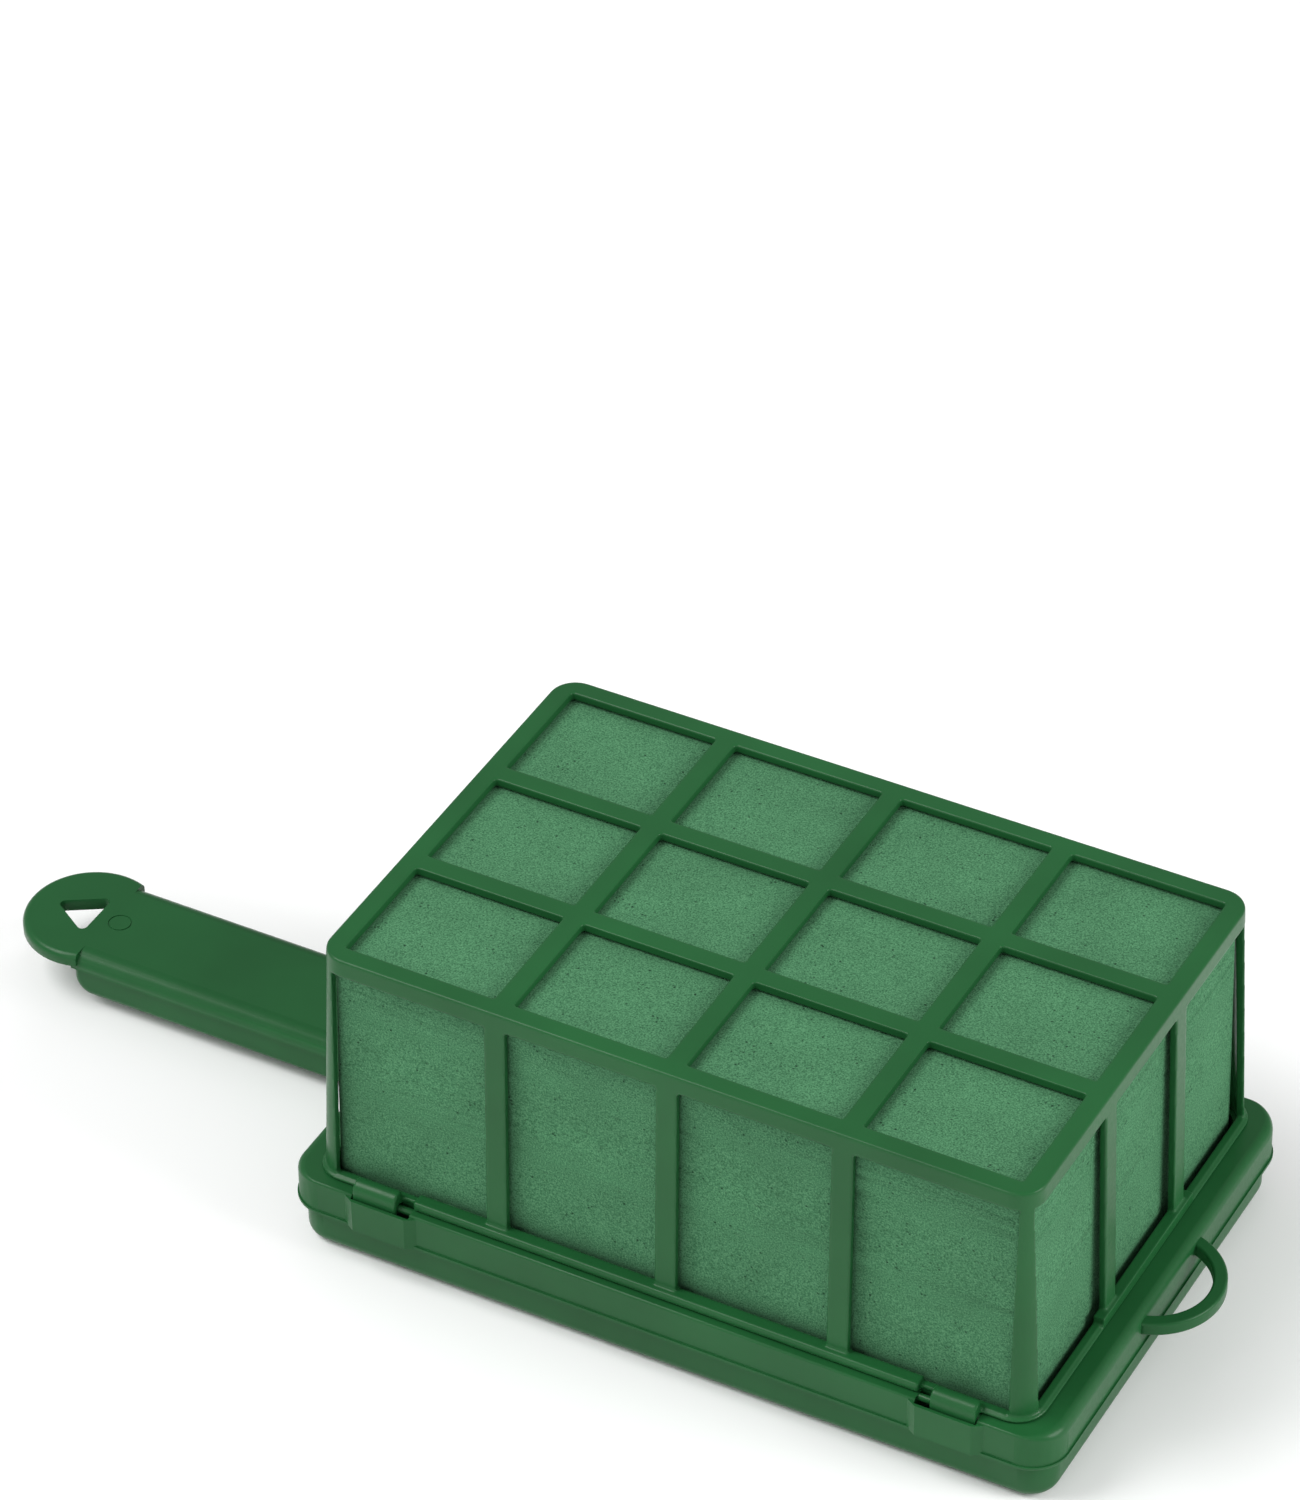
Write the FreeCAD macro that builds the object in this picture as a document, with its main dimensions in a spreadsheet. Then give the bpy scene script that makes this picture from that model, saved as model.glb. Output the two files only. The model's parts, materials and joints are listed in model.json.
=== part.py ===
import FreeCAD, Part
import Sketcher
import math
import os

# Floral foam brick in a snap-on cage: a shallow tray with a paddle handle and a
# hanging ring, a moulded lattice cage whose four hooks clip over pins in the
# tray's rim, and the foam brick held between them. Millimetres. The origin is
# the centre of the tray's underside, +X points from the handle to the ring and
# +Z points from the tray to the top grille.

DIMENSIONS = [
    ("brick_length", 173.0),
    ("brick_width", 110.0),
    ("brick_height", 80.0),
    ("brick_gap", 0.3),
    ("brick_corner", 3.0),
    ("tray_length", 195.4),
    ("tray_width", 125.8),
    ("tray_corner", 9.0),
    ("rim_top", 20.7),
    ("rim_plate", 2.2),
    ("rim_edge", 0.6),
    ("end_edge", 2.4),
    ("parting", 11.3),
    ("dish_inset", 1.8),
    ("dish_wall", 1.8),
    ("dish_round", 3.3),
    ("floor_thick", 2.2),
    ("opening_length", 178.4),
    ("opening_width", 114.6),
    ("cage_length", 178.0),
    ("cage_width", 114.8),
    ("cage_corner", 6.5),
    ("cage_top", 85.3),
    ("cage_wall", 1.8),
    ("cage_gap", 0.2),
    ("draft_growth", 2.0),
    ("grille_thick", 2.2),
    ("grille_edge", 4.9),
    ("bar_width", 5.0),
    ("window_pitch_x", 43.3),
    ("window_pitch_y", 36.6),
    ("band_height", 4.8),
    ("post_width", 5.4),
    ("corner_leg_x", 3.6),
    ("corner_leg_y", 2.95),
    ("top_round", 0.6),
    ("foot_height", 1.2),
    ("flange_reach", 0.9),
    ("flange_height", 0.8),
    ("flange_start", 79.2),
    ("strip_half", 64.2),
    ("strip_reach", 1.7),
    ("strip_top", 2.6),
    ("centre_half", 23.8),
    ("centre_top", 3.3),
    ("clip_middle", 71.9),
    ("clip_length", 15.2),
    ("clip_inner", 59.0),
    ("clip_floor", 14.4),
    ("boss_length", 18.8),
    ("boss_ramp", 2.5),
    ("boss_bulge", 1.4),
    ("boss_wall", 0.8),
    ("boss_drop", 0.6),
    ("hook_middle", 73.5),
    ("hook_length", 11.2),
    ("hook_inside", 1.2),
    ("hook_outside", 2.4),
    ("hook_reach", 2.9),
    ("hook_rise", 2.2),
    ("pin_radius", 0.9),
    ("pin_line", 60.7),
    ("pin_height", 19.7),
    ("bead_reach", 0.4),
    ("bead_height", 0.7),
    ("rib_half", 22.3),
    ("rib_reach", 1.5),
    ("rib_drop", 0.9),
    ("rib_round", 0.7),
    ("handle_half", 15.3),
    ("handle_top", 16.0),
    ("handle_plate", 1.9),
    ("handle_skirt", 3.0),
    ("handle_reach", 186.4),
    ("shoulder_round", 4.2),
    ("root_fillet", 6.5),
    ("shell_half", 14.2),
    ("shell_bottom", 2.7),
    ("shell_reach", 187.0),
    ("shell_round", 2.4),
    ("shell_nose", 5.0),
    ("shell_wall", 1.8),
    ("disc_centre", 190.0),
    ("disc_radius", 16.6),
    ("disc_thick", 3.3),
    ("disc_root", 184.6),
    ("disc_edge", 1.6),
    ("hole_tip", 199.8),
    ("hole_base", 188.0),
    ("hole_half", 7.3),
    ("hole_corner", 1.3),
    ("mark_radius", 2.6),
    ("mark_outer", 181.7),
    ("mark_inner", 102.4),
    ("mark_line", 0.35),
    ("mark_depth", 0.25),
    ("ring_centre", 92.9),
    ("ring_radius", 17.0),
    ("ring_strip", 3.3),
    ("ring_top", 19.1),
    ("ring_depth", 3.5),
    ("ring_edge", 0.6),
]

SIDES = (("front", -1), ("back", 1))
ENDS = (("handle_end", -1), ("ring_end", 1))
UP = FreeCAD.Vector(0, 0, 1)

doc = FreeCAD.newDocument("foam_cage")
sheet = doc.addObject("Spreadsheet::Sheet", "Dimensions")
for row, (alias, value) in enumerate(DIMENSIONS, start=1):
    sheet.set("A%d" % row, alias)
    sheet.set("B%d" % row, str(value))
    sheet.setAlias("B%d" % row, alias)
doc.recompute()

exported = []


def size(name):
    """A driving dimension's value."""
    return float(sheet.get(name))


def expand(text):
    """An expression in the sheet's aliases, with the sheet's name put in."""
    words = sorted((alias for alias, _ in DIMENSIONS), key=len, reverse=True)
    out = ""
    position = 0
    while position < len(text):
        for word in words:
            if text.startswith(word, position):
                out += "Dimensions." + word
                position += len(word)
                break
        else:
            out += text[position]
            position += 1
    return out


def bind(item, **values):
    """Bind an object's properties to expressions in the sheet's aliases."""
    for name, text in values.items():
        item.setExpression(name, expand(text))


def place(item, across="0", along="0", up="0", turn=None):
    """Bind an object's position, after turning it by an axis and an angle."""
    if turn:
        item.Placement = FreeCAD.Placement(FreeCAD.Vector(), FreeCAD.Rotation(*turn))
    for axis, text in (("x", across), ("y", along), ("z", up)):
        item.setExpression("Placement.Base." + axis, expand(text))


def block(name, low, high):
    """A box between two corners given as expressions."""
    item = doc.addObject("Part::Box", name)
    spans = ["(%s) - (%s)" % (top, bottom) for bottom, top in zip(low, high)]
    bind(item, Length=spans[0], Width=spans[1], Height=spans[2])
    place(item, *low)
    return item


def cylinder(name, radius, height, across="0", along="0", up="0", turn=None):
    """A cylinder with its radius, length and base point as expressions."""
    item = doc.addObject("Part::Cylinder", name)
    bind(item, Radius=radius, Height=height)
    place(item, across, along, up, turn)
    return item


def cut(name, base, tool):
    item = doc.addObject("Part::Cut", name)
    item.Base = base
    item.Tool = tool
    return item


def fuse(name, pieces):
    item = doc.addObject("Part::MultiFuse", name)
    item.Shapes = pieces
    item.Refine = True
    return item


def common(name, base, tool):
    item = doc.addObject("Part::Common", name)
    item.Base = base
    item.Tool = tool
    return item


def rounded(name, base, radius, chosen):
    """Round the edges of base that chosen(edge) picks, by a named radius."""
    doc.recompute()
    item = doc.addObject("Part::Fillet", name)
    item.Base = base
    radius = size(radius)
    edges = enumerate(base.Shape.Edges, start=1)
    item.Edges = [(number, radius, radius) for number, edge in edges if chosen(edge)]
    return item


def flat_at(edge, height):
    """True for an edge that lies in the level plane at a height."""
    box = edge.BoundBox
    return abs(box.ZMin - height) < 1e-4 and abs(box.ZMax - height) < 1e-4


def runs_along(edge, axis):
    """True for a straight edge parallel to an axis."""
    if not isinstance(edge.Curve, Part.Line):
        return False
    return abs(abs(edge.Curve.Direction.dot(axis)) - 1) < 1e-6


def export(item, label):
    item.Label = label
    exported.append(item)
    return item


def outline(name, length, width, corner, up):
    """A level sketch of a centred rectangle with rounded corners."""
    sketch = doc.addObject("Sketcher::SketchObject", name)
    place(sketch, up=up)
    x, y, r = 50.0, 30.0, 5.0
    for cx, cy, start in ((x, y, 0), (-x, y, 90), (-x, -y, 180), (x, -y, 270)):
        centre = FreeCAD.Vector(cx - math.copysign(r, cx), cy - math.copysign(r, cy), 0)
        first = math.radians(start)
        arc = Part.ArcOfCircle(Part.Circle(centre, UP, r), first, first + math.pi / 2)
        sketch.addGeometry(arc)
    for arc in range(4):
        ends = [sketch.getPoint(arc, 2), sketch.getPoint((arc + 1) % 4, 1)]
        sketch.addGeometry(Part.LineSegment(*ends))
    for arc in range(4):
        line = arc + 4
        sketch.addConstraint(Sketcher.Constraint("Tangent", arc, 2, line, 1))
        sketch.addConstraint(Sketcher.Constraint("Tangent", line, 2, (arc + 1) % 4, 1))
        level = "Vertical" if arc % 2 else "Horizontal"
        sketch.addConstraint(Sketcher.Constraint(level, line))
        if arc:
            sketch.addConstraint(Sketcher.Constraint("Equal", 0, arc))
    sketch.addConstraint(Sketcher.Constraint("Symmetric", 4, 1, 6, 1, -1, 1))
    spans = (("span", length, "DistanceX", (5, 1, 7, 1), 2 * x),
             ("breadth", width, "DistanceY", (6, 1, 4, 1), 2 * y))
    for label, text, kind, ends, start in spans:
        number = sketch.addConstraint(Sketcher.Constraint(kind, *ends, start))
        sketch.renameConstraint(number, label)
        sketch.setExpression("Constraints." + label, expand(text))
    number = sketch.addConstraint(Sketcher.Constraint("Radius", 0, r))
    sketch.renameConstraint(number, "corner")
    sketch.setExpression("Constraints.corner", expand(corner))
    return sketch


def polygon(name, points, up="0", turn=None, across="0"):
    """A closed sketch whose corners are bound to pairs of expressions."""
    sketch = doc.addObject("Sketcher::SketchObject", name)
    place(sketch, across=across, up=up, turn=turn)
    texts = [[expand(text) for text in point] for point in points]
    found = [FreeCAD.Vector(*[float(sheet.evalExpression(text)) for text in pair], 0)
             for pair in texts]
    count = len(points)
    for number in range(count):
        ends = found[number], found[(number + 1) % count]
        sketch.addGeometry(Part.LineSegment(*ends))
    for number in range(count):
        after = (number + 1) % count
        sketch.addConstraint(Sketcher.Constraint("Coincident", number, 2, after, 1))
    for number in range(count):
        for axis, kind in enumerate(("DistanceX", "DistanceY")):
            values = -1, 1, number, 1, found[number][axis]
            made = sketch.addConstraint(Sketcher.Constraint(kind, *values))
            label = "%s%d" % ("xy"[axis], number)
            sketch.renameConstraint(made, label)
            sketch.setExpression("Constraints." + label, texts[number][axis])
    return sketch


def extrude(name, sketch, direction, length):
    """A sketch drawn out into a solid by a length given as an expression."""
    item = doc.addObject("Part::Extrusion", name)
    item.Base = sketch
    item.DirMode = "Custom"
    item.Dir = direction
    item.Solid = True
    bind(item, LengthFwd=length)
    return item


def slab(name, length, width, corner, low, high):
    """A rounded rectangle drawn straight up between two heights."""
    sketch = outline(name + "_outline", length, width, corner, low)
    return extrude(name, sketch, UP, "(%s) - (%s)" % (high, low))


def tapered(name, shrink, low, high):
    """The cage's drafted outline between two heights, shrunk on every side."""
    item = doc.addObject("Part::Loft", name)
    corner = "cage_corner - (%s)" % shrink
    sections = []
    for label, height in (("low", low), ("high", high)):
        spread = "2 * draft_growth * (cage_top - (%s)) / (cage_top - rim_top)" % height
        spans = ["%s + %s - 2 * (%s)" % (whole, spread, shrink)
                 for whole in ("cage_length", "cage_width")]
        sections.append(outline("%s_%s" % (name, label), *spans, corner, height))
    item.Sections = sections
    item.Solid = True
    item.Ruled = True
    return item


# ---- tray ---------------------------------------------------------------------

def make_dish_form():
    """The outside of the tray's lower half, rounded along its bottom edge."""
    inset = "2 * dish_inset"
    base = slab("dish_block", "tray_length - " + inset, "tray_width - " + inset,
                "tray_corner - dish_inset", "0", "parting")
    return rounded("dish_form", base, "dish_round", lambda edge: flat_at(edge, 0))


def make_dish(form):
    inset = "2 * (dish_inset + dish_wall)"
    hollow = slab("dish_hollow", "tray_length - " + inset, "tray_width - " + inset,
                  "tray_corner - dish_inset - dish_wall", "floor_thick", "parting")
    export(cut("dish", form, hollow), "tray_dish")


def signed(hand, text):
    """An expression, or its negative for the negative hand."""
    return "%d * (%s)" % (hand, text)


def span_block(name, x, y, z):
    """A box from spans that may be given with their ends in either order."""
    lows, highs = [], []
    for first, last in (x, y, z):
        ends = [first, last]
        ends.sort(key=lambda text: float(sheet.evalExpression(expand(text))))
        lows.append(ends[0])
        highs.append(ends[1])
    return block(name, lows, highs)


def clip_boss(name, side, end):
    """A shallow swelling of the skirt outside one clip, ramped at both ends."""
    face = "tray_width / 2"
    across = [("-1", "boss_length / 2", 0), ("-1", "boss_length / 2 - boss_ramp", 1),
              ("1", "boss_length / 2 - boss_ramp", 1), ("1", "boss_length / 2", 0)]
    points = []
    for hand, half, out in across:
        x = "%d * clip_middle + %s * (%s)" % (end, hand, half)
        points.append((x, signed(side, "%s + %d * boss_bulge" % (face, out))))
    for hand in ("1", "-1"):
        x = "%d * clip_middle + %s * boss_length / 2" % (end, hand)
        points.append((x, signed(side, face + " - dish_wall")))
    sketch = polygon(name + "_outline", points, "parting")
    return extrude(name, sketch, UP, "rim_top - boss_drop - parting")


def clip_pocket(name, side, end):
    """The slot through the rim that one hook drops into."""
    x = ["%d * clip_middle + %d * clip_length / 2" % (end, hand) for hand in (-1, 1)]
    outer = "tray_width / 2 + boss_bulge - boss_wall"
    y = [signed(side, "clip_inner"), signed(side, outer)]
    return span_block(name, x, y, ("clip_floor", "rim_top + 1"))


def clips():
    """Name, side and end of the four clips."""
    for side_name, side in SIDES:
        for end_name, end in ENDS:
            yield "%s_%s" % (side_name, end_name), side, end


def make_rim_form():
    """The outside of the skirt and rim, before the clips are let into it."""
    base = slab("rim_block", "tray_length", "tray_width", "tray_corner",
                "parting", "rim_top")
    doc.recompute()
    item = doc.addObject("Part::Fillet", "rim_soft")
    item.Base = base
    crisp, soft = size("rim_edge"), size("end_edge")
    edges = []
    for number, edge in enumerate(base.Shape.Edges, start=1):
        if not flat_at(edge, size("rim_top")):
            continue
        if runs_along(edge, FreeCAD.Vector(0, 1, 0)):
            edges.append((number, soft, soft))
        elif runs_along(edge, FreeCAD.Vector(1, 0, 0)):
            edges.append((number, crisp, crisp))
        else:
            first = edge.valueAt(edge.FirstParameter)
            last = edge.valueAt(edge.LastParameter)
            ends = (soft, crisp) if abs(first.x) > abs(last.x) else (crisp, soft)
            edges.append((number, *ends))
    item.Edges = edges
    reach = "tray_length / 2 + rib_reach"
    rib = block("rib_block", ("-(%s)" % reach, "-rib_half", "parting"),
                ("-tray_length / 2 + dish_wall", "rib_half", "rim_top - rib_drop"))
    outer = -size("tray_length") / 2 - size("rib_reach")
    low = size("parting")

    def outside(edge):
        return edge.BoundBox.XMax < outer + 1e-4 and edge.BoundBox.ZMax > low + 1

    rib = rounded("rib_soft", rib, "rib_round", outside)
    bead = slab("rim_bead", "tray_length + 2 * bead_reach", "tray_width + 2 * bead_reach",
                "tray_corner + bead_reach", "parting", "parting + bead_height")
    return fuse("rim_form", [item, rib, bead])


def make_rim(form):
    bosses = [clip_boss("boss_" + name, side, end) for name, side, end in clips()]
    body = fuse("rim_bossed", [form] + bosses)
    wall = "2 * (dish_inset + dish_wall)"
    corner = "tray_corner - dish_inset - dish_wall"
    hollow = slab("rim_hollow", "tray_length - " + wall, "tray_width - " + wall, corner,
                  "parting", "rim_top - rim_plate")
    opening = slab("rim_opening", "opening_length", "opening_width", "cage_corner",
                   "parting", "rim_top + 1")
    pockets = [clip_pocket("pocket_" + name, side, end) for name, side, end in clips()]
    export(cut("rim", body, fuse("rim_cuts", [hollow, opening] + pockets)), "tray_rim")


def make_pins():
    for name, side, end in clips():
        start = "%d * clip_middle - clip_length / 2" % end
        turn = (FreeCAD.Vector(0, 1, 0), 90)
        pin = cylinder("pin_" + name, "pin_radius", "clip_length", start,
                       signed(side, "pin_line"), "pin_height", turn)
        export(pin, "clip_pin_" + name)


def root_fillet(name, hand):
    """The flare where one edge of the handle meets the rim."""
    start = "-tray_length / 2 - rib_reach"
    x = [start + " - root_fillet", start + " + dish_wall"]
    edge = [signed(hand, "handle_half - 1"), signed(hand, "handle_half + root_fillet")]
    corner = span_block(name + "_block", x, edge, ("parting", "handle_top - shoulder_round / 2"))
    round_cut = cylinder(name + "_round", "root_fillet", "handle_top - parting + 2", x[0],
                         edge[1], "parting - 1")
    return cut(name, corner, round_cut)


def ring_mark(name, middle):
    """A fine circular groove in the top of the handle."""
    low = "handle_top - mark_depth"
    outer = cylinder(name + "_outer", "mark_radius + mark_line", "mark_depth + 1",
                     "-" + middle, "0", low)
    inner = cylinder(name + "_inner", "mark_radius", "mark_depth + 1", "-" + middle, "0", low)
    return cut(name, outer, inner)


def make_handle_top(rim_form):
    flat = block("handle_block", ("-handle_reach", "-handle_half", "parting"),
                 ("-tray_length / 2 + dish_wall", "handle_half", "handle_top"))

    def shoulder(edge):
        return flat_at(edge, size("handle_top")) and runs_along(
            edge, FreeCAD.Vector(1, 0, 0))

    soft = rounded("handle_soft", flat, "shoulder_round", shoulder)
    flares = [root_fillet("root_%d" % (hand + 1), hand) for hand in (-1, 1)]
    hollow = block("handle_hollow",
                   ("-handle_reach + handle_skirt", "-(handle_half - handle_skirt)",
                    "parting"),
                   ("-tray_length / 2 + dish_wall", "handle_half - handle_skirt",
                    "handle_top - handle_plate"))
    disc = cylinder("disc_round", "disc_radius", "disc_thick", "-disc_centre", "0",
                    "handle_top - disc_thick")
    disc = rounded("disc_soft", disc, "disc_edge",
                   lambda edge: flat_at(edge, size("handle_top")))
    keep = block("disc_keep", ("-disc_centre - disc_radius - 1", "-disc_radius - 1", "0"),
                 ("-disc_root", "disc_radius + 1", "handle_top + 1"))
    disc = common("disc", disc, keep)
    body = fuse("handle_body", [soft, disc] + flares)
    tip = ("-hole_tip", "0")
    corners = [tip, ("-hole_base", "-hole_half"), ("-hole_base", "hole_half")]
    hole = extrude("hole_sharp", polygon("hole_outline", corners, "parting - 1"), UP,
                   "handle_top - parting + 2")
    hole = rounded("hole", hole, "hole_corner", lambda edge: runs_along(edge, UP))
    marks = [ring_mark("mark_near", "mark_inner"), ring_mark("mark_far", "mark_outer")]
    body = cut("handle_open", body, fuse("handle_cuts", [hollow, hole] + marks))
    export(cut("handle", body, rim_form), "handle_top")


def make_handle_shell(dish_form):
    whole = block("shell_block", ("-shell_reach", "-shell_half", "shell_bottom"),
                  ("-tray_length / 2 + 2 * dish_round", "shell_half", "parting"))
    reach = -size("shell_reach")
    inside = -size("tray_length") / 2 + 2 * size("dish_round") - 1e-3
    low = size("shell_bottom")
    nose = rounded("shell_nose_form", whole, "shell_nose",
                   lambda edge: flat_at(edge, low) and edge.BoundBox.XMax < reach + 1e-4)

    def side(edge):
        return flat_at(edge, low) and edge.BoundBox.XMin < inside and runs_along(
            edge, FreeCAD.Vector(1, 0, 0))

    soft = rounded("shell_soft", nose, "shell_round", side)
    hollow = block("shell_hollow",
                   ("-shell_reach + shell_nose", "-(shell_half - shell_wall)",
                    "shell_bottom + shell_wall"),
                   ("-tray_length / 2 + 2 * dish_round", "shell_half - shell_wall",
                    "parting"))
    body = cut("shell_open", soft, hollow)
    export(cut("shell", body, dish_form), "handle_shell")


def make_ring(rim_form):
    low = "ring_top - ring_depth"
    outer = cylinder("ring_outer", "ring_radius", "ring_depth", "ring_centre", "0", low)
    inner = cylinder("ring_inner", "ring_radius - ring_strip", "ring_depth + 2",
                     "ring_centre", "0", low + " - 1")
    band = cut("ring_band", outer, inner)
    half = common("ring_half", band,
                  block("ring_keep", ("tray_length / 2 - dish_wall", "-ring_radius", "0"),
                        ("ring_centre + ring_radius", "ring_radius", "rim_top")))
    reach = size("tray_length") / 2 - size("dish_wall") + 1e-3
    heights = size("ring_top"), size("ring_top") - size("ring_depth")
    soft = rounded("ring_soft", half, "ring_edge",
                   lambda edge: edge.BoundBox.XMax > reach and any(flat_at(edge, z) for z in heights))
    export(cut("ring", soft, rim_form), "hanging_ring")


# ---- cage ---------------------------------------------------------------------

WALL_LOW = "rim_top + cage_gap"
GRILLE_LOW = "cage_top - grille_thick"
BAND_LOW = "cage_top - band_height"
FOOT_TOP = "rim_top + cage_gap + foot_height"
STRIP_TOP = "rim_top + strip_top"
CENTRE_TOP = "rim_top + centre_top"
HALF_X = "cage_length / 2"
HALF_Y = "cage_width / 2"
OUTSIDE = "tray_length"


def skirted(name, reach, high, inner):
    """A straight-sided wall outside the cage's inner face, up to a height."""
    spread = " + 2 * draft_growth + 2 * " + reach
    plan = slab(name + "_plan", "cage_length" + spread, "cage_width" + spread,
                "cage_corner + " + reach, WALL_LOW, high)
    return cut(name, plan, inner)


def make_cage_forms():
    """The cage's drafted outside, and its wall, flange, strip and centre forms."""
    outer = tapered("cage_outer", "0", WALL_LOW, "cage_top")
    doc.recompute()
    soft = rounded("cage_form", outer, "top_round",
                   lambda edge: flat_at(edge, size("cage_top")))
    inner = tapered("cage_inner", "cage_wall", WALL_LOW, GRILLE_LOW)
    shell = cut("cage_shell", soft, inner)
    flange = skirted("flange", "flange_reach", WALL_LOW + " + flange_height", inner)
    strip = skirted("strip", "strip_reach", STRIP_TOP, inner)
    centre = skirted("centre", "flange_reach", CENTRE_TOP, inner)
    return outer, shell, flange, strip, centre


def piece(name, source, x, y, z):
    """One member of the cage: the part of a form inside a box."""
    export(common(name + "_part", source, span_block(name + "_box", x, y, z)), name)


def make_grille(shell):
    """Four top rails, with two long and three cross bars between them."""
    z = (GRILLE_LOW, "cage_top")
    edge_x = HALF_X + " - grille_edge"
    edge_y = HALF_Y + " - grille_edge"
    for name, hand in SIDES:
        y = (signed(hand, edge_y), signed(hand, OUTSIDE))
        piece("top_rail_" + name, shell, ("-" + OUTSIDE, OUTSIDE), y, z)
    inner_y = (signed(-1, edge_y), edge_y)
    for name, hand in ENDS:
        x = (signed(hand, edge_x), signed(hand, OUTSIDE))
        piece("top_rail_" + name, shell, x, inner_y, z)
    half = "bar_width / 2"
    for number, offset in enumerate((-1, 0, 1), start=1):
        middle = "%d * window_pitch_x" % offset
        x = (middle + " - " + half, middle + " + " + half)
        piece("cross_bar_%d" % number, shell, x, inner_y, z)
    bays = ["-(%s)" % edge_x]
    for offset in (-1, 0, 1):
        middle = "%d * window_pitch_x" % offset
        bays += [middle + " - " + half, middle + " + " + half]
    bays.append(edge_x)
    for name, hand in SIDES:
        middle = signed(hand, "window_pitch_y / 2")
        y = (middle + " - " + half, middle + " + " + half)
        bars = []
        for bay in range(4):
            label = "long_bar_%s_%d" % (name, bay + 1)
            box = span_block(label + "_box", bays[2 * bay:2 * bay + 2], y, z)
            bars.append(common(label, shell, box))
        joined = doc.addObject("Part::Compound", "long_bar_" + name + "_all")
        joined.Links = bars
        export(joined, "long_bars_" + name)


def make_corner_posts(shell, flange):
    """Four corner posts, each standing on its corner of the flange."""
    for name, side, end in clips():
        x = (signed(end, HALF_X + " - corner_leg_x"), signed(end, OUTSIDE))
        y = (signed(side, HALF_Y + " - corner_leg_y"), signed(side, OUTSIDE))
        parts = [common("corner_%s_%d" % (name, number), source,
                        span_block("corner_%s_box%d" % (name, number), x, y,
                                   (WALL_LOW, GRILLE_LOW)))
                 for number, source in enumerate((shell, flange))]
        export(fuse("corner_" + name, parts), "corner_post_" + name)


def make_side(name, hand, shell, flange, strip):
    """One long side: its band, its foot rail with the raised strip, its posts."""
    y = ("0", signed(hand, OUTSIDE))
    leg = HALF_X + " - corner_leg_x"
    x = (signed(-1, leg), leg)
    piece("band_" + name, shell, x, y, (BAND_LOW, GRILLE_LOW))
    spans = [(shell, x, FOOT_TOP), (strip, ("-strip_half", "strip_half"), STRIP_TOP)]
    spans += [(flange, (signed(end, "flange_start"), signed(end, leg)), STRIP_TOP)
              for end in (-1, 1)]
    parts = [common("foot_%s_%d" % (name, number), source,
                    span_block("foot_%s_box%d" % (name, number), reach, y,
                               (WALL_LOW, high)))
             for number, (source, reach, high) in enumerate(spans)]
    export(fuse("foot_" + name, parts), "foot_rail_" + name)
    half = "post_width / 2"
    for number, offset in enumerate((-1, 0, 1), start=1):
        middle = "%d * window_pitch_x" % offset
        x = (middle + " - " + half, middle + " + " + half)
        piece("post_%s_%d" % (name, number), shell, x, y, (STRIP_TOP, BAND_LOW))


def make_end(name, hand, shell, flange, centre):
    """One short end: its band, its foot rail with the raised centre, its posts."""
    x = ("0", signed(hand, OUTSIDE))
    leg = HALF_Y + " - corner_leg_y"
    y = (signed(-1, leg), leg)
    piece("band_" + name, shell, x, y, (BAND_LOW, GRILLE_LOW))
    spans = [(shell, y, FOOT_TOP), (flange, y, FOOT_TOP),
             (centre, ("-centre_half", "centre_half"), CENTRE_TOP)]
    parts = [common("foot_%s_%d" % (name, number), source,
                    span_block("foot_%s_box%d" % (name, number), x, reach,
                               (WALL_LOW, high)))
             for number, (source, reach, high) in enumerate(spans)]
    export(fuse("foot_" + name, parts), "foot_rail_" + name)
    half = "post_width / 2"
    for number, offset in enumerate((-1, 1), start=1):
        middle = signed(offset, "window_pitch_y / 2")
        y = (middle + " - " + half, middle + " + " + half)
        piece("post_%s_%d" % (name, number), shell, x, y, (CENTRE_TOP, BAND_LOW))


def make_hooks(outer):
    """Four hooks that run out from the cage's foot and over the tray's pins."""
    turn = (FreeCAD.Vector(0, 1, 0), 90)
    for name, side, end in clips():
        start = "%d * hook_middle - hook_length / 2" % end
        x = (start, start + " + hook_length")
        line = signed(side, "pin_line")
        low = "pin_height - hook_reach"
        solids = []
        for label, radius, high in (("outer", "hook_outside", "pin_height + hook_rise"),
                                    ("inner", "hook_inside", "pin_height")):
            key = "hook_%s_%s" % (name, label)
            arch = cylinder(key + "_arch", radius, "hook_length", start, line, high, turn)
            y = ("%s - %s" % (line, radius), "%s + %s" % (line, radius))
            legs = span_block(key + "_legs", x, y, (low, high))
            solids.append(fuse(key, [arch, legs]))
        clear = span_block("hook_%s_clear" % name, x,
                           ("0", signed(side, "pin_line - hook_inside")),
                           (low, WALL_LOW))
        tools = fuse("hook_%s_tools" % name, [solids[1], clear, outer])
        export(cut("hook_%s_body" % name, solids[0], tools), "hook_" + name)


# ---- brick --------------------------------------------------------------------

def make_brick():
    bottom = "floor_thick + brick_gap"
    block_form = block("brick_block", ("-brick_length / 2", "-brick_width / 2", bottom),
                       ("brick_length / 2", "brick_width / 2",
                        bottom + " + brick_height"))
    export(rounded("brick", block_form, "brick_corner",
                   lambda edge: runs_along(edge, UP)), "foam_brick")


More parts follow.
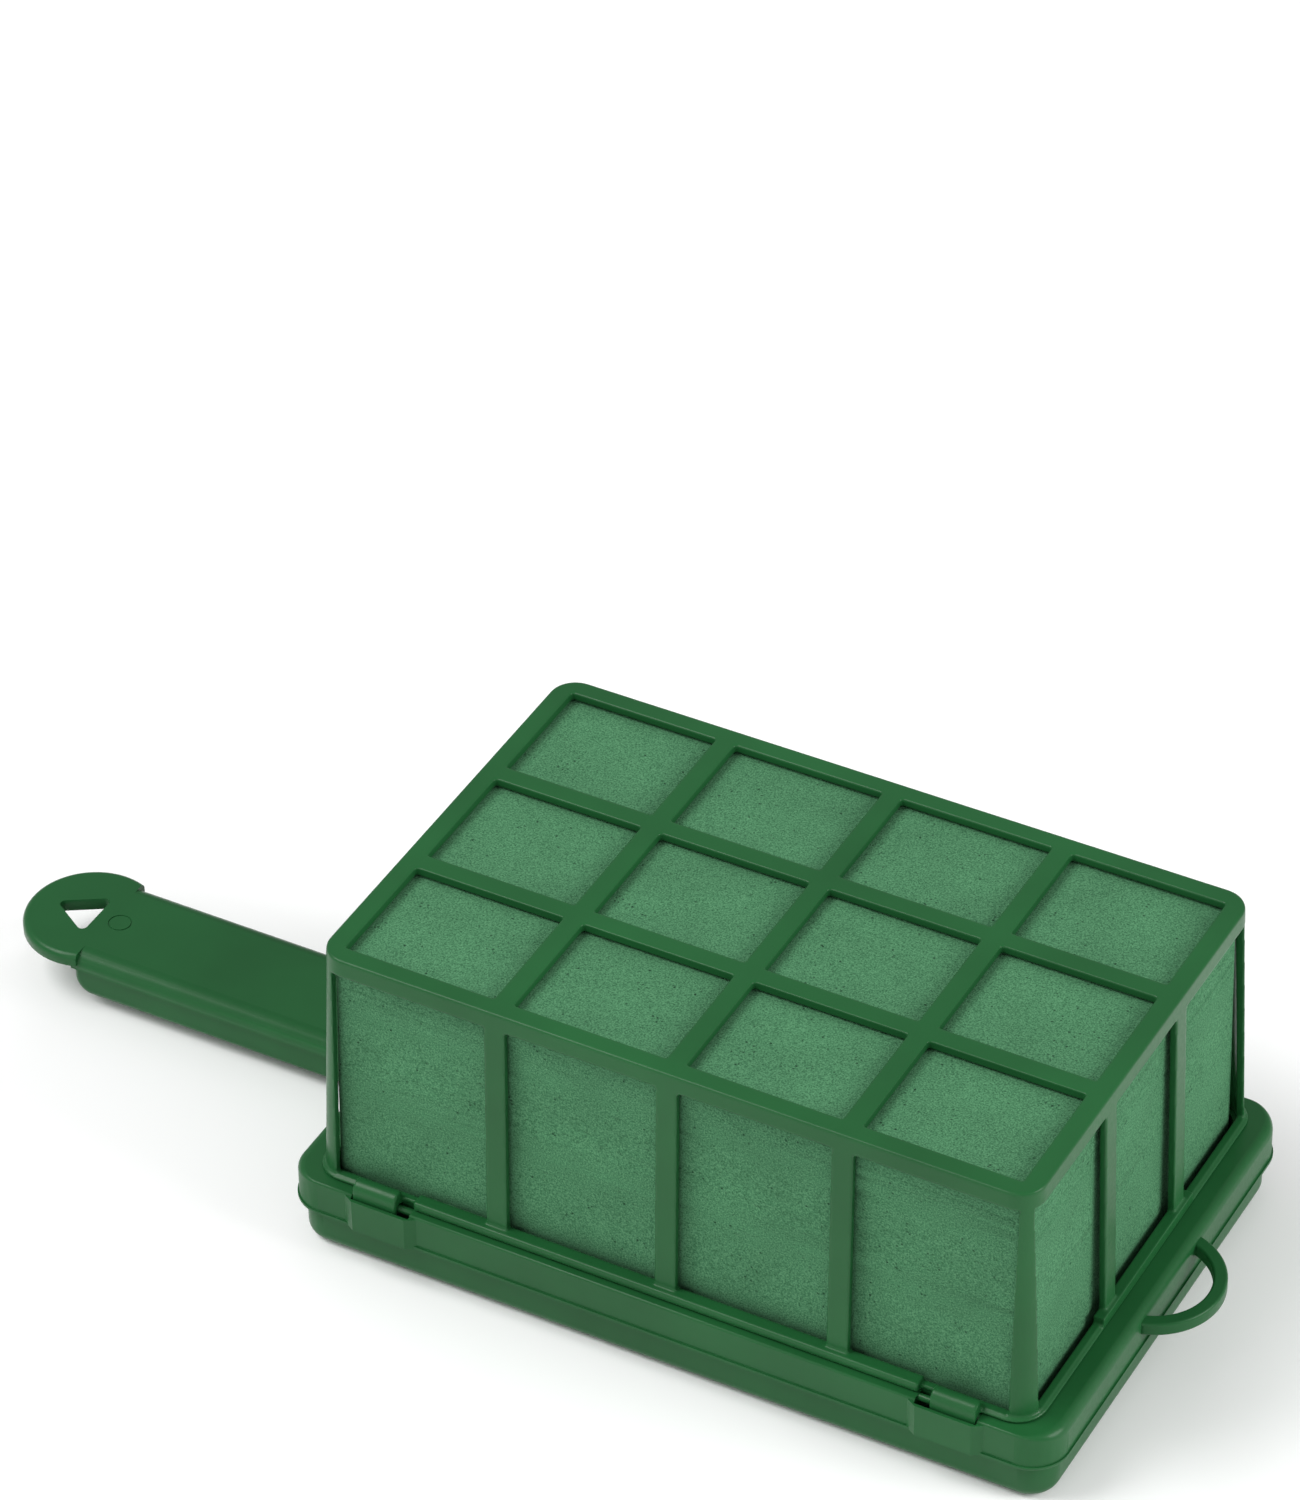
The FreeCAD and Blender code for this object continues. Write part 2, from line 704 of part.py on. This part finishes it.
def check_and_export():
    doc.recompute()
    for item in doc.Objects:
        if "Invalid" in item.State or "Error" in item.State:
            raise RuntimeError("%s did not rebuild: %s" % (item.Name, item.State))
    os.makedirs("parts", exist_ok=True)
    for item in exported:
        shape = item.Shape
        if shape.isNull() or not shape.isValid() or not shape.Solids:
            raise RuntimeError("%s has no sound solid" % item.Label)
        box = shape.BoundBox
        print("%-28s solids %d volume %9.2f  x %8.2f %8.2f  y %7.2f %7.2f  z %6.2f %6.2f"
              % (item.Label, len(shape.Solids), shape.Volume, box.XMin, box.XMax,
                 box.YMin, box.YMax, box.ZMin, box.ZMax))
        shape.exportStep("parts/%s.step" % item.Label)


dish_form = make_dish_form()
make_dish(dish_form)
rim_form = make_rim_form()
make_rim(rim_form)
make_pins()
make_handle_top(rim_form)
make_handle_shell(dish_form)
make_ring(rim_form)
outer_form, shell_form, flange_form, strip_form, centre_form = make_cage_forms()
make_grille(shell_form)
make_corner_posts(shell_form, flange_form)
for side_name, side_hand in SIDES:
    make_side(side_name, side_hand, shell_form, flange_form, strip_form)
for end_name, end_hand in ENDS:
    make_end(end_name, end_hand, shell_form, flange_form, centre_form)
make_hooks(outer_form)
make_brick()
check_and_export()
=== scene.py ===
"""The looks of the floral foam brick in its cage and tray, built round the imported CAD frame."""

import json
import math

import bmesh
import bpy
from mathutils import Euler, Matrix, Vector, noise


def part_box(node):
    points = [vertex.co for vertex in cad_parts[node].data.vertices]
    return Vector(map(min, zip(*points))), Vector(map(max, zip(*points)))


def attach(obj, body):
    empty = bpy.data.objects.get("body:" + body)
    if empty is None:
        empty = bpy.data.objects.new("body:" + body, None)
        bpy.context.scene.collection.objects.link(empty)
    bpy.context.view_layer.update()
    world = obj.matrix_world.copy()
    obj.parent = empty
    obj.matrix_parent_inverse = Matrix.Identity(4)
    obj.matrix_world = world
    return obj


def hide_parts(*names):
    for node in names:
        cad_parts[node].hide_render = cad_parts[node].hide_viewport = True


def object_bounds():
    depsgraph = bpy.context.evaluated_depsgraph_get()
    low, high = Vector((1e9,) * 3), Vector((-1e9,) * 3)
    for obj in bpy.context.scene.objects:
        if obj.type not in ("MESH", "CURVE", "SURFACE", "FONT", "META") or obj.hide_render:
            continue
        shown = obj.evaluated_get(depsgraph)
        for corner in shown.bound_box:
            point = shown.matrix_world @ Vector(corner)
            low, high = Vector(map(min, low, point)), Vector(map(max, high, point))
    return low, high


MM = 0.001

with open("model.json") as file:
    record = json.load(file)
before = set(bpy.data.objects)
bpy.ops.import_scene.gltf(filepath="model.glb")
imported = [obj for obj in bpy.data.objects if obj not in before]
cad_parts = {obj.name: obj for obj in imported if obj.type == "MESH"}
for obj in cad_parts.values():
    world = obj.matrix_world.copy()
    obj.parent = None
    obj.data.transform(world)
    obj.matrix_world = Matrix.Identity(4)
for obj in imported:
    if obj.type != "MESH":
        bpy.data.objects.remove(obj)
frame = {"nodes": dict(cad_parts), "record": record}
cad_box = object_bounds()
body_nodes = frame["record"]["behaviour"]["bodies"]


# ---- node helpers -------------------------------------------------------------

def new_material(name):
    """An empty node material with its output, its shader and object coordinates."""
    material = bpy.data.materials.new(name)
    material.use_nodes = True
    tree = material.node_tree
    tree.nodes.clear()
    output = tree.nodes.new("ShaderNodeOutputMaterial")
    shader = tree.nodes.new("ShaderNodeBsdfPrincipled")
    tree.links.new(shader.outputs["BSDF"], output.inputs["Surface"])
    place = tree.nodes.new("ShaderNodeTexCoord")
    return material, tree, shader, place.outputs["Object"]


def add_noise(tree, where, scale, detail=2.0, rough=0.5):
    node = tree.nodes.new("ShaderNodeTexNoise")
    node.inputs["Scale"].default_value = scale
    node.inputs["Detail"].default_value = detail
    node.inputs["Roughness"].default_value = rough
    tree.links.new(where, node.inputs["Vector"])
    return node.outputs["Fac"]


def add_cells(tree, where, scale, feature="F1"):
    node = tree.nodes.new("ShaderNodeTexVoronoi")
    node.feature = feature
    node.inputs["Scale"].default_value = scale
    tree.links.new(where, node.inputs["Vector"])
    return node.outputs["Distance"]


def add_ramp(tree, value, stops):
    """A colour ramp; each stop is a position and a grey level or a colour."""
    node = tree.nodes.new("ShaderNodeValToRGB")
    ramp = node.color_ramp
    while len(ramp.elements) < len(stops):
        ramp.elements.new(0.5)
    for element, (position, colour) in zip(ramp.elements, stops):
        element.position = position
        if isinstance(colour, (int, float)):
            colour = (colour, colour, colour)
        element.color = (*colour, 1.0)
    tree.links.new(value, node.inputs["Fac"])
    return node.outputs["Color"]


def add_range(tree, value, low, high, start=0.0, stop=1.0):
    node = tree.nodes.new("ShaderNodeMapRange")
    node.inputs["From Min"].default_value = start
    node.inputs["From Max"].default_value = stop
    node.inputs["To Min"].default_value = low
    node.inputs["To Max"].default_value = high
    tree.links.new(value, node.inputs["Value"])
    return node.outputs["Result"]


def add_mix(tree, share, first, second, blend="MIX"):
    """Mixes two colours; any input may be a socket or a plain value."""
    node = tree.nodes.new("ShaderNodeMix")
    node.data_type = "RGBA"
    node.blend_type = blend
    for key, value in ((0, share), (6, first), (7, second)):
        if isinstance(value, bpy.types.NodeSocket):
            tree.links.new(value, node.inputs[key])
        elif key:
            node.inputs[key].default_value = (*value, 1.0)
        else:
            node.inputs[key].default_value = value
    return node.outputs[2]


def add_bump(tree, height, strength, distance, before=None):
    node = tree.nodes.new("ShaderNodeBump")
    node.inputs["Strength"].default_value = strength
    node.inputs["Distance"].default_value = distance
    tree.links.new(height, node.inputs["Height"])
    if before is not None:
        tree.links.new(before, node.inputs["Normal"])
    return node.outputs["Normal"]


# ---- materials ----------------------------------------------------------------

def green_plastic(name, tint):
    """Injection-moulded polypropylene: satin, with faint flow marks and grain; given a paler tint
    it serves as a painted highlight on edges.
    """
    material, tree, shader, where = new_material(name)
    flow = add_noise(tree, where, 22.0, 3.0, 0.55)
    deep = tuple(channel * 0.88 for channel in tint)
    pale = tuple(channel * 1.12 for channel in tint)
    colour = add_ramp(tree, flow, ((0.32, deep), (0.68, pale)))
    tree.links.new(colour, shader.inputs["Base Color"])
    grain = add_noise(tree, where, 900.0, 3.0, 0.6)
    tree.links.new(add_range(tree, grain, 0.28, 0.38, 0.3, 0.7), shader.inputs["Roughness"])
    waves = add_bump(tree, add_noise(tree, where, 45.0, 2.0, 0.5), 0.35, 0.0005)
    tree.links.new(add_bump(tree, grain, 0.10, 0.00008, waves), shader.inputs["Normal"])
    shader.inputs["IOR"].default_value = 1.49
    shader.inputs["Specular IOR Level"].default_value = 0.22
    return material


def dry_foam(name):
    """Fine open-cell floral foam: matt, speckled, with scattered larger pores, sunk by bump and
    painted dark as painted shade.
    """
    material, tree, shader, where = new_material(name)
    fine = add_noise(tree, where, 2500.0, 3.0, 0.7)
    speckle = add_ramp(tree, fine, (
        (0.32, (0.024, 0.090, 0.041)),
        (0.48, (0.055, 0.178, 0.085)),
        (0.66, (0.098, 0.262, 0.133)),
    ))
    cloud = add_noise(tree, where, 60.0, 4.0, 0.6)
    tone = add_ramp(tree, cloud, ((0.3, 0.90), (0.7, 1.06)))
    toned = add_mix(tree, 1.0, speckle, tone, "MULTIPLY")
    cells = add_cells(tree, where, 700.0)
    sparse = add_noise(tree, where, 260.0, 2.0, 0.5)
    pore = add_range(tree, cells, 1.0, 0.0, 0.10, 0.26)
    gate = add_range(tree, sparse, 0.0, 1.0, 0.56, 0.66)
    pore_pits_and_painted_shade = tree.nodes.new("ShaderNodeMath")
    pore_pits_and_painted_shade.operation = "MULTIPLY"
    tree.links.new(pore, pore_pits_and_painted_shade.inputs[0])
    tree.links.new(gate, pore_pits_and_painted_shade.inputs[1])
    # The pores are painted near-black green, which is painted shade inside the pits; the bump
    # below also sinks them.
    colour = add_mix(tree, pore_pits_and_painted_shade.outputs["Value"], toned, (0.013, 0.05, 0.024))
    tree.links.new(colour, shader.inputs["Base Color"])
    relief = add_bump(tree, fine, 0.55, 0.00025)
    sunk = tree.nodes.new("ShaderNodeMath")
    sunk.operation = "SUBTRACT"
    sunk.inputs[0].default_value = 1.0
    tree.links.new(pore_pits_and_painted_shade.outputs["Value"], sunk.inputs[1])
    relief = add_bump(tree, sunk.outputs["Value"], 0.6, 0.0003, relief)
    tree.links.new(relief, shader.inputs["Normal"])
    shader.inputs["Roughness"].default_value = 0.95
    shader.inputs["Specular IOR Level"].default_value = 0.15
    return material


# ---- meshes -------------------------------------------------------------------

def add_object(name, mesh):
    item = bpy.data.objects.new(name, mesh)
    bpy.context.scene.collection.objects.link(item)
    return item


def settle(item):
    """Replaces an object's mesh with the result of its modifiers."""
    graph = bpy.context.evaluated_depsgraph_get()
    mesh = bpy.data.meshes.new_from_object(item.evaluated_get(graph))
    item.modifiers.clear()
    item.data = mesh
    return item


def moulding(name, nodes, voxel, passes):
    """One seamless moulded mesh from touching CAD solids, its edges softened."""
    merged = bmesh.new()
    for node in nodes:
        merged.from_mesh(frame["nodes"][node].data)
    mesh = bpy.data.meshes.new(name)
    merged.to_mesh(mesh)
    merged.free()
    mesh.materials.clear()
    item = add_object(name, mesh)
    remesh = item.modifiers.new("skin", "REMESH")
    remesh.mode = "VOXEL"
    remesh.voxel_size = voxel
    remesh.use_smooth_shade = True
    smooth = item.modifiers.new("soften", "SMOOTH")
    smooth.factor = 0.5
    smooth.iterations = passes
    settle(item)
    for polygon in item.data.polygons:
        polygon.use_smooth = True
    return item


FOAM_EDGE = 0.8 * MM
FOAM_CHIP = 0.2 * MM
SWELL_MM = 1.3
SWELL_END = 0.78
PIT_DEPTH_MM = 0.6
PIT_START = 0.42
PIT_SHIFT = Vector((3, 1, 7))


def foam_block(name, low, high, corners, step):
    """A foam brick as a fine grid mesh with crushed corners and crumbly edges.

    Its corner radius runs from the first of corners, at and below mid height, to the
    second at the top. Its sides swell toward the bottom, as the cage's draft leaves room."""
    size = high - low
    middle = (high + low) / 2
    mesh = bpy.data.meshes.new(name)
    grid = bmesh.new()
    counts = [max(2, round(length / step)) for length in size]
    found = {}

    def vertex(i, j, k):
        key = (i, j, k)
        if key not in found:
            part = [number / count for number, count in zip(key, counts)]
            found[key] = grid.verts.new([low[a] + size[a] * part[a] for a in range(3)])
        return found[key]

    for axis in range(3):
        a, b = [other for other in range(3) if other != axis]
        for end in (0, counts[axis]):
            for i in range(counts[a]):
                for j in range(counts[b]):
                    ring = []
                    for di, dj in ((0, 0), (1, 0), (1, 1), (0, 1)):
                        key = [0, 0, 0]
                        key[axis], key[a], key[b] = end, i + di, j + dj
                        ring.append(vertex(*key))
                    grid.faces.new(ring)
    bmesh.ops.recalc_face_normals(grid, faces=grid.faces)
    half = size / 2
    for vert in grid.verts:
        out = vert.co - middle
        crushed = max(0.0, out[2] / half[2])
        corner = corners[0] + (corners[1] - corners[0]) * crushed
        chip = noise.noise(vert.co * 90) + 0.6 * noise.noise(vert.co * 300)
        edge = FOAM_EDGE + FOAM_CHIP * chip
        plan = [max(0.0, abs(out[a]) - (half[a] - corner)) for a in (0, 1)]
        reach = math.hypot(*plan)
        if reach > corner:
            for a in (0, 1):
                sign = math.copysign(1, out[a])
                out[a] = sign * (half[a] - corner + plan[a] * corner / reach)
        side = min(reach, corner) if all(plan) else max(
            abs(out[a]) - (half[a] - corner) for a in (0, 1))
        inward = max(0.0, side - (corner - edge))
        rise = max(0.0, abs(out[2]) - (half[2] - edge))
        far = math.hypot(inward, rise)
        if far > edge:
            share = 1 - edge / far
            out[2] -= math.copysign(rise * share, out[2])
            pull = inward * share
            for a in (0, 1):
                weight = plan[a] / max(reach, 1e-9) if all(plan) else float(
                    abs(out[a]) - (half[a] - corner) == side)
                out[a] -= math.copysign(pull * weight, out[a])
        vert.co = middle + out
    grid.normal_update()
    for vert in grid.verts:
        spot = vert.co
        upright = float(abs(vert.normal.z) < 0.7)
        lower = min((high.z - spot.z) / size.z * upright, SWELL_END)
        waves = 0.04 * noise.noise(spot * 35) + 0.02 * noise.noise(spot * 160)
        pit = max(0.0, noise.noise(spot * 420 + PIT_SHIFT) - PIT_START)
        vert.co = spot + vert.normal * MM * (SWELL_MM * lower + waves - PIT_DEPTH_MM * pit)
    grid.to_mesh(mesh)
    grid.free()
    for polygon in mesh.polygons:
        polygon.use_smooth = True
    return add_object(name, mesh)


# ---- the object ---------------------------------------------------------------

PLASTIC_TINT = (0.0120, 0.090, 0.0250)
# Paler green for the tray's bevelled edge faces: a painted highlight standing in for light caught
# on the edges.
PAINTED_HIGHLIGHT_TINT = (0.060, 0.225, 0.088)
tray_plastic = green_plastic("tray_green_plastic", PLASTIC_TINT)
tray_painted_highlight = green_plastic("tray_painted_highlight_plastic", PAINTED_HIGHLIGHT_TINT)
cage_plastic = green_plastic("cage_green_plastic", PLASTIC_TINT)
foam = dry_foam("dry_green_foam")

EDGE_BREAK = 0.3 * MM
SHARP_ANGLE = math.radians(32)
WELD_GAP = 0.002 * MM
for node in body_nodes["tray"]:
    item = frame["nodes"][node]
    item.data.materials.clear()
    item.data.materials.append(tray_plastic)
    item.data.materials.append(tray_painted_highlight)
    for polygon in item.data.polygons:
        polygon.material_index = 0
    weld = item.modifiers.new("join_faces", "WELD")
    weld.merge_threshold = WELD_GAP
    soften = item.modifiers.new("edge_break", "BEVEL")
    soften.width = EDGE_BREAK
    soften.segments = 2
    soften.limit_method = "ANGLE"
    soften.angle_limit = SHARP_ANGLE
    soften.harden_normals = True
    # The bevel's faces take the second, paler slot: a painted highlight along every sharp edge,
    # concave ones too.
    soften.material = 1

CAGE_VOXEL = 0.32 * MM
SMOOTH_PASSES = 5
cage = moulding("cage_lattice", body_nodes["cage"], CAGE_VOXEL, SMOOTH_PASSES)
cage.data.materials.append(cage_plastic)
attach(cage, "cage")
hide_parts(*body_nodes["cage"])

FOAM_CORNERS = (2.1 * MM, 2.8 * MM)
FOAM_STEP = 0.8 * MM
brick_low, brick_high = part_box("foam_brick")
brick = foam_block("foam_block", brick_low, brick_high, FOAM_CORNERS, FOAM_STEP)
brick.data.materials.append(foam)
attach(brick, "brick")
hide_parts("foam_brick")


# ---- stage, light and camera ----------------------------------------------------

def flat_floor(size, up):
    mesh = bpy.data.meshes.new("floor")
    half = size / 2
    corners = [(-half, -half, up), (half, -half, up), (half, half, up), (-half, half, up)]
    mesh.from_pydata(corners, [], [(0, 1, 2, 3)])
    item = add_object("floor", mesh)
    material, tree, shader, where = new_material("pale_floor")
    shade = add_ramp(tree, add_noise(tree, where, 3.0, 2.0), ((0.3, 0.93), (0.7, 0.95)))
    tree.links.new(shade, shader.inputs["Base Color"])
    shader.inputs["Roughness"].default_value = 0.8
    mesh.materials.append(material)


def soft_light(name, at, target, size, power):
    data = bpy.data.lights.new(name, "AREA")
    data.shape = "RECTANGLE"
    data.size, data.size_y = size
    data.energy = power
    item = bpy.data.objects.new(name, data)
    bpy.context.scene.collection.objects.link(item)
    item.location = at
    item.rotation_euler = (Vector(target) - Vector(at)).to_track_quat("-Z", "Y").to_euler()


FLOOR_SIZE = 12.0
FLOOR_GAP = 0.2 * MM
flat_floor(FLOOR_SIZE, cad_box[0].z - FLOOR_GAP)
AIM = (0.0, 0.0, 0.04)
soft_light("top_left", (-0.9, -0.6, 1.5), AIM, (1.0, 1.0), 24.0)
soft_light("right_side", (1.6, 0.3, 0.9), AIM, (1.0, 1.0), 24.0)
soft_light("front_fill", (0.2, -1.9, 0.8), AIM, (1.6, 0.8), 6.0)

world = bpy.data.worlds.new("studio")
world.use_nodes = True
bpy.context.scene.world = world
sky = world.node_tree.nodes["Background"]
sky.inputs["Color"].default_value = (1.0, 1.0, 1.0, 1.0)
sky.inputs["Strength"].default_value = 0.45

bpy.context.scene.view_settings.view_transform = "Standard"

LONG_SIDE_PX = 1500.0
SENSOR_MM = 36.0
FOCAL_PX = 6350.5
CAMERA_PLACE = (0.50307, -0.97413, 0.99785)
CAMERA_TURN_DEGREES = (51.8097, 0.6656, 28.3667)
camera_data = bpy.data.cameras.new("camera")
camera_data.sensor_width = SENSOR_MM
camera_data.lens = FOCAL_PX / LONG_SIDE_PX * SENSOR_MM
camera_data.clip_start = 0.01
camera_data.clip_end = 20.0
camera = bpy.data.objects.new("camera", camera_data)
bpy.context.scene.collection.objects.link(camera)
camera.location = CAMERA_PLACE
camera.rotation_euler = Euler([math.radians(angle) for angle in CAMERA_TURN_DEGREES])
bpy.context.scene.camera = camera
